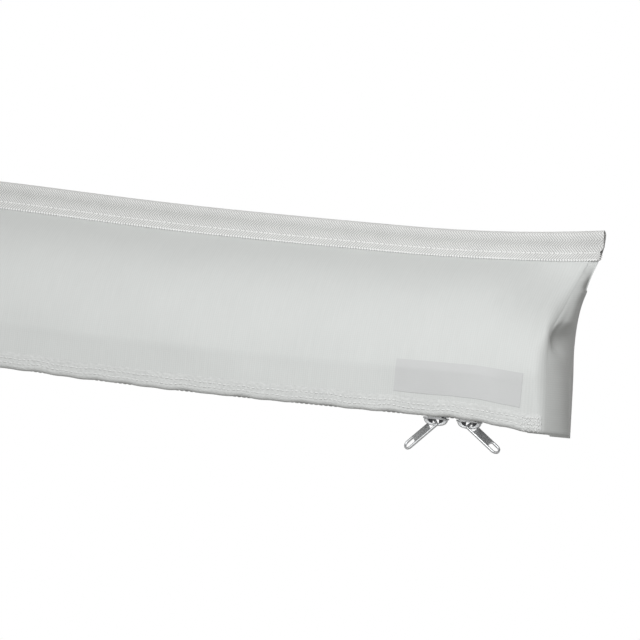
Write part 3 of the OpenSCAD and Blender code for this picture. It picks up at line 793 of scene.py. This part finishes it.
def coil_row(name, middle_y, lean):
    """One row of closed loops of nylon wire round the tape's edge."""
    middle_x = np.arange(-zip_half + coil_pitch, zip_half - coil_pitch / 2, coil_pitch)
    turn = np.linspace(0, 2 * math.pi, 9, endpoint=False)
    girth = np.linspace(0, 2 * math.pi, 5, endpoint=False)
    wide = coil_w / 2 - wire_r
    tall = (coil_high_z - coil_low_z) / 2 - wire_r
    out_y, out_z = np.cos(turn)[:, None], np.sin(turn)[:, None]
    x = lean * np.sin(turn)[:, None] * coil_pitch * 0.2 + wire_r * np.sin(girth)
    y = out_y * (wide + wire_r * np.cos(girth))
    z = out_z * (tall + wire_r * np.cos(girth)) + (coil_low_z + coil_high_z) / 2 + coil_lift
    one = np.stack(np.broadcast_arrays(x, y, z), axis=-1)
    shift = np.stack([middle_x, middle_y(middle_x), 0 * middle_x], axis=-1)
    points = settle(*np.moveaxis(one + shift[:, None, None], -1, 0), slack=0)
    count, rows, cols = points.shape[:3]
    index = np.arange(rows * cols).reshape(rows, cols)
    beside = np.roll(index, -1, axis=1)
    quads = np.stack([index, beside, np.roll(beside, -1, axis=0), np.roll(index, -1, axis=0)], axis=-1)
    faces = quads.reshape(1, -1, 4) + rows * cols * np.arange(count)[:, None, None]
    return make_piece(name, points, faces.reshape(-1, 4).tolist(), crease=80)


coil_nylon = Finish("coil_nylon", {"Roughness": 0.38})
coil_cloud = coil_nylon.places().noise(300, 2)
coil_nylon.vary(colour=coil_cloud.tint((0.45, 0.455, 0.455), (0.56, 0.565, 0.565)))
back_coil_y = (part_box("zip_coil_back")[0].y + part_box("zip_coil_back")[1].y) / 2
front_coil_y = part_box("zip_coil_front")[1].y - coil_w / 2
coil_back = coil_row("zip_loops_back", lambda x: back_coil_y + 0 * x, 1)
coil_front = coil_row("zip_loops_front", lambda x: front_coil_y - aside(x), -1)
for piece, body, node in ((coil_back, "root", "zip_coil_back"), (coil_front, "flap", "zip_coil_front")):
    coil_nylon.put_on(piece)
    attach(piece, body)
    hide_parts(node)


# Zip sliders
# Die-cast zinc, nickel plated and tumbled. Two shield-shaped wings on a post, with turned-in side flanges,
# and a boat-shaped bridge under the outer wing that holds the pull tab. A near-black plate shaped as a flat
# lock spring fills the bridge's window: painted shade, standing for the shadow inside the bridge.
wing_t = 0.0014
flange_t = 0.001
bridge_w = 0.0028
bridge_reach = 0.0093
bridge_gap = 0.0058
bridge_t = 0.0020
bridge_edge = 0.0007
pivot_gap = 0.00165
metal_edge = 0.00035
arch_top = 0.0004
tape_clear = 0.0003
spring_near = 0.0026
spring_far = 0.0062
spring_clear = 0.0016
spring_t = 0.0014
spring_edge = 0.0001


def plate(loops, low, high, soften):
    """A plate with soft edges and its outlines in X and Y: its edge first, then any holes."""
    line = bpy.data.curves.new("plate", "CURVE")
    line.dimensions = "2D"
    line.fill_mode = "BOTH"
    line.extrude = (high - low) / 2 - soften
    line.bevel_depth = soften
    line.bevel_resolution = 2
    line.offset = -soften
    for number, loop in enumerate(loops):
        loop = np.array(loop, float)
        after = np.roll(loop, -1, axis=0)
        turns_left = np.sum(loop[:, 0] * after[:, 1] - after[:, 0] * loop[:, 1]) > 0
        if turns_left != (number == 0):
            loop = loop[::-1]
        edge = line.splines.new("POLY")
        edge.points.add(len(loop) - 1)
        edge.points.foreach_set("co", np.column_stack([loop, 0 * loop[:, 0], 0 * loop[:, 0] + 1]).ravel())
        edge.use_cyclic_u = True
    body = bpy.data.objects.new("plate", line)
    mesh = bpy.data.meshes.new_from_object(body)
    bpy.data.objects.remove(body)
    bpy.data.curves.remove(line)
    mesh.transform(Matrix.Translation((0, 0, (low + high) / 2)))
    return mesh


def joined(name, parts):
    """One piece from several meshes, each with its place."""
    shape = bmesh.new()
    for mesh, place in parts:
        mesh.transform(place)
        shape.from_mesh(mesh)
        bpy.data.meshes.remove(mesh)
    bmesh.ops.remove_doubles(shape, verts=shape.verts, dist=0.000002)
    bmesh.ops.recalc_face_normals(shape, faces=shape.faces)
    mesh = bpy.data.meshes.new(name)
    shape.to_mesh(mesh)
    shape.free()
    mesh.shade_smooth()
    mesh.set_sharp_from_angle(angle=math.radians(38))
    piece = bpy.data.objects.new(name, mesh)
    bpy.context.scene.collection.objects.link(piece)
    return piece


def shield(long, wide):
    """A slider's outline: broad shoulders towards the post, a narrower tail, all corners round."""
    half = []
    for share in np.linspace(0, 1, 15):
        x = long * (2 * share - 1)
        body = wide * (0.74 + 0.26 * smooth((share - 0.25) / 0.35))
        round_off = (1 - abs(2 * share - 1) ** 7) ** 0.5
        half.append((x, body * max(round_off, 0.42)))
    return half + [(x, -y) for x, y in reversed(half)]


def boat(reach, deep, top):
    """Half of a boat's side line, from its end at the top to the middle of its bottom."""
    return curve((reach, top), (reach * 0.97, -deep * 0.55), (reach * 0.72, -deep), (0, -deep), count=12)


still = Matrix.Identity(4)
slider_low, slider_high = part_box("zip_slider_left")
slider_w = slider_high.y - slider_low.y
slider_y = (slider_low.y + slider_high.y) / 2
upper_z = slider_high.z - wing_t
joints = frame["record"]["behaviour"]["joints"]
joint_places = {joint["name"]: joint["pos_m"] for joint in joints if "pos_m" in joint}
pull_z = joint_places["pull_left_swing"][2]
wing_low = pull_z + pivot_gap
bridge_deep = wing_low - slider_low.z
tape_low, tape_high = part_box("zip_tape_back")[0].z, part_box("zip_tape_back")[1].z
nickel = Finish("nickel", {"Metallic": 1.0})
nickel_cloud = nickel.places().noise(220, 4)
nickel_scuff = nickel.places().noise(1400, 2)
nickel.vary(
    colour=nickel_cloud.tint((0.64, 0.65, 0.66), (0.78, 0.79, 0.8)),
    roughness=nickel_cloud * 0.12 + nickel_scuff * 0.1 + 0.36,
    normal=nickel_cloud.bump(0.05, 0.0002),
)
# Painted shade: a near-black steel for the plate in the bridge's window, standing for the shadow inside the
# bridge.
spring_steel = Finish("spring_steel", {"Metallic": 1.0})
spring_shade_cloud = spring_steel.places().noise(500, 2)
spring_steel.vary(
    colour=spring_shade_cloud.tint((0.05, 0.05, 0.055), (0.11, 0.11, 0.115)),
    roughness=spring_shade_cloud * 0.2 + 0.4,
)
for side, facing in (("left", 1), ("right", -1)):
    long, wide = slider_len / 2, slider_w / 2
    outline = shield(long, wide)
    flange_line = [(-0.6 * long, 0), (0.62 * long, 0), (0.62 * long, flange_t), (-0.6 * long, flange_t)]
    post = [(0.37 * long, -0.0022), (0.86 * long, -0.0022), (0.86 * long, -0.0004), (0.37 * long, -0.0004)]
    outer = boat(bridge_reach, bridge_deep, arch_top)
    inner = boat(bridge_gap, bridge_deep - bridge_t, arch_top)
    arch = np.concatenate([outer, outer[-2::-1] * (-1, 1), inner * (-1, 1), inner[-2::-1]])
    parts = [
        (plate([outline], wing_low, wing_low + wing_t, metal_edge), still),
        (plate([outline], upper_z, upper_z + wing_t, metal_edge), still),
        (plate([post], wing_low + wing_t / 2, upper_z + wing_t / 2, metal_edge / 2), still),
        (plate([arch], -bridge_w / 2, bridge_w / 2, bridge_edge),
         Matrix.Translation((0, 0, wing_low)) @ Matrix.Rotation(math.radians(90), 4, "X")),
    ]
    lower_flange = (wing_low + wing_t / 2, tape_low - tape_clear)
    upper_flange = (tape_high + tape_clear, upper_z + wing_t / 2)
    for y in (-wide, wide - flange_t):
        move = Matrix.Translation((0, y, 0))
        for span in (lower_flange, upper_flange):
            parts.append((plate([flange_line], *span, metal_edge / 2), move))
    slider = joined(f"slider_cast_{side}", parts)
    seat = Matrix.Translation((slider_x[side], slider_y, 0))
    slider.data.transform(seat @ Matrix.Scale(facing, 4, (1, 0, 0)))
    if facing < 0:
        slider.data.flip_normals()
    # The plate in the bridge's window, shaped as a lock spring, is painted shade for the shadow inside the
    # bridge.
    spring_low = -bridge_deep + spring_clear
    spring_line = [(spring_near, 0), (spring_far, 0), (spring_far, spring_low), (spring_near, spring_low)]
    under_wing = Matrix.Translation((slider_x[side], slider_y, wing_low))
    upright = under_wing @ Matrix.Rotation(math.radians(90), 4, "X")
    other_half = upright @ Matrix.Rotation(math.pi, 4, "Y")
    halves = []
    for place in (upright, other_half):
        halves.append((plate([spring_line], -spring_t / 2, spring_t / 2, spring_edge), place))
    spring = joined(f"slider_spring_shade_{side}", halves)
    spring_steel.put_on(spring)
    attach(spring, f"slider_{side}")
    nickel.put_on(slider)
    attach(slider, f"slider_{side}")
    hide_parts(f"zip_slider_{side}")


# Pull tabs
# Pressed from nickel-plated brass: a long plate with rolled edges and a round tip, an eye near the top that
# swings on the slider's bridge, and a slot near the tip. It hangs turned a little out of line.
pull_len = 0.031
pull_w = 0.009
pull_t = 0.002
pull_edge = 0.0006
pull_head = 0.0009


def round_oblong(half_w, high, low, high_r, low_r):
    """An upright oblong with round corners, of one radius at the top and another at the bottom."""
    return np.concatenate([
        arc((half_w - high_r, high - high_r), high_r, 0, 90, 7),
        arc((high_r - half_w, high - high_r), high_r, 90, 180, 7),
        arc((low_r - half_w, low + low_r), low_r, 180, 270, 12),
        arc((half_w - low_r, low + low_r), low_r, 270, 360, 12)[0 if half_w > low_r else 1:],
    ])


tab_edge = round_oblong(pull_w / 2, pull_head, -pull_len, 0.0018, pull_w / 2)
eye = round_oblong(0.0031, -0.0010, -0.0062, 0.0009, 0.0009)
tip_slot = round_oblong(0.0027, 0.0095 - pull_len, 0.0015 - pull_len, 0.0012, 0.0027)
stand = Matrix(((0, 0, 1, 0), (1, 0, 0, 0), (0, 1, 0, 0), (0, 0, 0, 1)))
for side, swing, twist in (("left", 45, 48), ("right", -53, -34)):
    turned = Matrix.Rotation(math.radians(twist), 4, "Z") @ stand
    tab = plate([tab_edge, eye, tip_slot], -pull_t / 2, pull_t / 2, pull_edge)
    pull = joined(f"pull_tab_{side}", [(tab, turned)])
    pivot = Matrix.Translation((slider_x[side], slider_y, pull_z))
    pull.data.transform(pivot @ Matrix.Rotation(math.radians(swing), 4, "Y"))
    nickel.put_on(pull)
    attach(pull, f"pull_{side}")
    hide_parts(f"zip_pull_{side}")


# Zip stops, spindles and leg pins
# Small plated steel pieces: clamps at the ends of the zip's fixed row, the spindles that the roller turns on
# and the pins that the legs swing on.
nickel.put_on(frame["nodes"]["zip_stops"])
pin_steel = Finish("pin_steel", {"Metallic": 1.0})
steel_cloud = pin_steel.places().noise(160, 4)
pin_steel.vary(
    colour=steel_cloud.tint((0.42, 0.43, 0.44), (0.58, 0.59, 0.6)),
    roughness=steel_cloud * 0.2 + 0.22,
    normal=steel_cloud.bump(0.05, 0.0002),
)
for name in ("spindle_left", "spindle_right", "leg_pins"):
    pin_steel.put_on(frame["nodes"][name])


# Canopy
# Blue-grey vinyl-coated cloth. Its back hem is sewn into the band between the bag's panels, and the rest is
# wound on the roller tube, with a plastic rod in its front hem.
canopy_t = 0.00045
wound_low, wound_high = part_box("canopy_wound")
tube_low, tube_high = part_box("roller_tube")
roll_y = (wound_low.y + wound_high.y) / 2
roll_z = (wound_low.z + wound_high.z) / 2
roll_r = (wound_high.y - wound_low.y) / 2
tube_r = (tube_high.y - tube_low.y) / 2
canopy_len = math.pi * (roll_r ** 2 - tube_r ** 2) / canopy_t
canopy_half = wound_high.x
bend_z = -band_drop - 0.0024
lead_r = roll_r + 0.0005
lead_deg = math.degrees(math.atan2(bend_z - roll_z, -roll_y))
lead_deg += math.degrees(math.acos(lead_r / math.hypot(roll_y, bend_z - roll_z)))
lead_meets = arc((roll_y, roll_z), lead_r, lead_deg, lead_deg, 1)[0]
lead_path = np.concatenate([
    curve((0, cloth_top), (0, bend_z + 0.001), count=6),
    curve((0, bend_z + 0.001), (0, bend_z), (-0.002, bend_z - 0.001), count=4)[1:],
    curve((-0.002, bend_z - 0.001), lead_meets, count=24)[1:],
])
lead_path[:, 1] += canopy_t / 2
lead_places = np.linspace(-canopy_half, canopy_half, 90)
lead_grid = np.stack(np.broadcast_arrays(lead_places[:, None], lead_path[:, 0], lead_path[:, 1]), axis=-1)
lead_lift = settle(*np.moveaxis(lead_grid, -1, 0)) - lead_grid
lead_grid += lead_lift * np.linspace(1, 0, len(lead_path))[:, None]
canopy_lead = cloth_sheet("canopy_cloth", lead_grid, canopy_t)

turns = canopy_len / (math.pi * (roll_r + tube_r))
wind = np.linspace(0, 1, 440)
wind_angle = math.radians(90) - 2 * math.pi * turns * (1 - wind) + math.radians(lead_deg - 90)
wind_r = tube_r + canopy_t + (roll_r - tube_r - canopy_t) * wind
wound_grid = np.stack(np.broadcast_arrays(
    np.linspace(-canopy_half, canopy_half, 12)[:, None],
    roll_y + wind_r * np.cos(wind_angle),
    roll_z + wind_r * np.sin(wind_angle)), axis=-1)
canopy_roll = cloth_sheet("canopy_roll", wound_grid[::-1], canopy_t * 0.85)

canopy_vinyl = Finish("canopy_vinyl", {"Specular IOR Level": 0.4})
canopy_width = canopy_vinyl.places().axis("X")
canopy_rib = canopy_width.wave(0.0016)
canopy_cloud = canopy_vinyl.places().noise(30, 4)
canopy_vinyl.vary(
    colour=(canopy_cloud * 0.6 + canopy_rib * 0.4).tint((0.145, 0.19, 0.25), (0.21, 0.265, 0.335)),
    roughness=canopy_cloud * 0.15 + 0.38,
    normal=canopy_rib.bump(0.25, 0.0002),
)
canopy_vinyl.put_on(canopy_lead, canopy_roll)
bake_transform(canopy_lead)
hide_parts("canopy_lead")
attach(canopy_roll, "roller")
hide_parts("canopy_wound")
cord_plastic.put_on(frame["nodes"]["canopy_rod"])


# Roller tube and leg tubes
# Extruded aluminium, left bare. Drawing leaves fine lines along each tube, and handling dulls it in places.
bare_aluminium = Finish("bare_aluminium", {"Metallic": 1.0})
tube_places = bare_aluminium.places()
drawn_out = tube_places.node(
    "ShaderNodeMapping", {}, {"Vector": tube_places, "Scale": (6.0, 900.0, 900.0)})
drawn_lines = drawn_out.noise(1.0, 3)
dulling = tube_places.noise(22, 4)
bare_aluminium.vary(
    colour=(drawn_lines * 0.4 + dulling * 0.6).tint((0.6, 0.605, 0.615), (0.76, 0.765, 0.775)),
    roughness=drawn_lines * 0.16 + dulling * 0.12 + 0.22,
    normal=drawn_lines.bump(0.12, 0.0002),
)
bare_aluminium.put_on(frame["nodes"]["roller_tube"])
for side in ("left", "right"):
    for stage in ("outer", "mid", "low"):
        bare_aluminium.put_on(frame["nodes"][f"leg_{stage}_{side}"])


# Moulded pieces
# Glass-filled nylon, injection moulded with a fine spark grain: black for the end brackets, the roller's
# plugs and the leg heads, grey for the collars and lock plugs, and pale acetal for the bushes.
def moulded(name, dark, pale, rough):
    """A moulded plastic with a fine grain and a little cloudiness."""
    plastic = Finish(name, {"Specular IOR Level": 0.45})
    grain = plastic.places().noise(2600, 2)
    cloud = plastic.places().noise(40, 3)
    plastic.vary(
        colour=(cloud * 0.7 + grain * 0.3).tint(dark, pale),
        roughness=cloud * 0.12 + rough,
        normal=grain.bump(0.18, 0.0002),
    )
    return plastic


black_nylon = moulded("black_nylon", (0.012, 0.012, 0.013), (0.026, 0.026, 0.028), 0.42)
grey_nylon = moulded("grey_nylon", (0.11, 0.115, 0.125), (0.16, 0.165, 0.175), 0.42)
bush_acetal = moulded("bush_acetal", (0.62, 0.61, 0.58), (0.74, 0.73, 0.7), 0.36)
foot_rubber = moulded("foot_rubber", (0.018, 0.018, 0.019), (0.034, 0.034, 0.036), 0.7)
bush_acetal.put_on(frame["nodes"]["roller_bushes"])
for side in ("left", "right"):
    for name in ("roller_plug", "end_bracket", "leg_head"):
        black_nylon.put_on(frame["nodes"][f"{name}_{side}"])
    for name in ("leg_collar", "leg_mid_lock", "leg_mid_collar", "leg_low_lock"):
        grey_nylon.put_on(frame["nodes"][f"{name}_{side}"])
    foot_rubber.put_on(frame["nodes"][f"leg_foot_{side}"])


# Floor, light and camera
# A plain pale floor at the height of the drawn-out legs' feet, a broad soft lamp from the front, a small one
# close to the right end, one from above, an even surround, and a long lens level with the bag.
floor_z = -2.16
floor_half = 12.0
floor_t = 0.02
floor_corners = ((-1, -1), (1, -1), (1, 1), (-1, 1))
floor_heights = (floor_z, floor_z - floor_t)
floor = make_piece(
    "floor",
    [(x * floor_half, y * floor_half, z) for z in floor_heights for x, y in floor_corners],
    [(0, 1, 2, 3), (7, 6, 5, 4), (0, 4, 5, 1), (1, 5, 6, 2), (2, 6, 7, 3), (3, 7, 4, 0)],
)
floor_paint = Finish("floor_paint", {"Roughness": 0.9})
floor_paint.vary(colour=floor_paint.places().noise(3, 3).tint((0.86, 0.86, 0.86), (0.9, 0.9, 0.9)))
floor_paint.put_on(floor)

aim = Vector((0.757, -0.08, -0.0745))
end_aim = Vector((0.93, -0.08, -0.07))


def soft_lamp(name, target, way, distance, size, power, colour):
    """A square lamp that looks at a place on the bag."""
    lamp = bpy.data.lights.new(name, "AREA")
    lamp.size = size
    lamp.energy = power
    lamp.color = colour
    stand = bpy.data.objects.new(name, lamp)
    stand.location = target + Vector(way).normalized() * distance
    stand.rotation_euler = (target - stand.location).to_track_quat("-Z", "Y").to_euler()
    bpy.context.scene.collection.objects.link(stand)


soft_lamp("key_lamp", aim, (-0.25, -1.0, 0.3), 4.0, 2.4, 20, (0.98, 1.0, 1.0))
soft_lamp("end_lamp", end_aim, (0.0, -1.0, 0.42), 1.15, 0.45, 9.2, (0.99, 1.0, 1.0))
soft_lamp("top_lamp", aim, (0.0, -0.25, 1.0), 3.5, 2.4, 14, (1.0, 1.0, 1.0))

surround = bpy.data.worlds.new("surround")
surround.use_nodes = True
sky = Wire(surround.node_tree)
ray_kinds = ("Camera", "Glossy", "Transmission")
rays = [sky.node("ShaderNodeLightPath", out=f"Is {kind} Ray") for kind in ray_kinds]
seen = sky.maths("MAXIMUM", sky.maths("MAXIMUM", rays[0], rays[1]), rays[2])
even_light = 0.3
backdrop = surround.node_tree.nodes["Background"]
sky.feed(backdrop.inputs["Strength"], seen * (1 - even_light) + even_light)
sky.feed(backdrop.inputs["Color"], seen.tint((1.0, 0.985, 0.955), (1.0, 1.0, 1.0)))
bpy.context.scene.world = surround

view_azimuth = math.radians(16)
view_height = math.radians(-0.5)
view_roll = math.radians(5.5)
view_distance = 4.9
frame_width = 0.4794
right = Vector((math.cos(view_azimuth), math.sin(view_azimuth), 0))
level = math.cos(view_height)
back = Vector((math.sin(view_azimuth) * level, -math.cos(view_azimuth) * level, math.sin(view_height)))
up = back.cross(right)
lens = bpy.data.cameras.new("camera")
lens.sensor_width = 36
lens.lens = lens.sensor_width * view_distance / frame_width
lens.clip_end = 200
camera = bpy.data.objects.new("camera", lens)
tilted_right = right * math.cos(view_roll) + up * math.sin(view_roll)
tilted_up = up * math.cos(view_roll) - right * math.sin(view_roll)
camera_turn = Matrix((tilted_right, tilted_up, back)).transposed().to_4x4()
camera.matrix_world = Matrix.Translation(aim + back * view_distance) @ camera_turn
bpy.context.scene.collection.objects.link(camera)
bpy.context.scene.camera = camera
bpy.context.scene.view_settings.view_transform = "Standard"

bpy.context.view_layer.update()
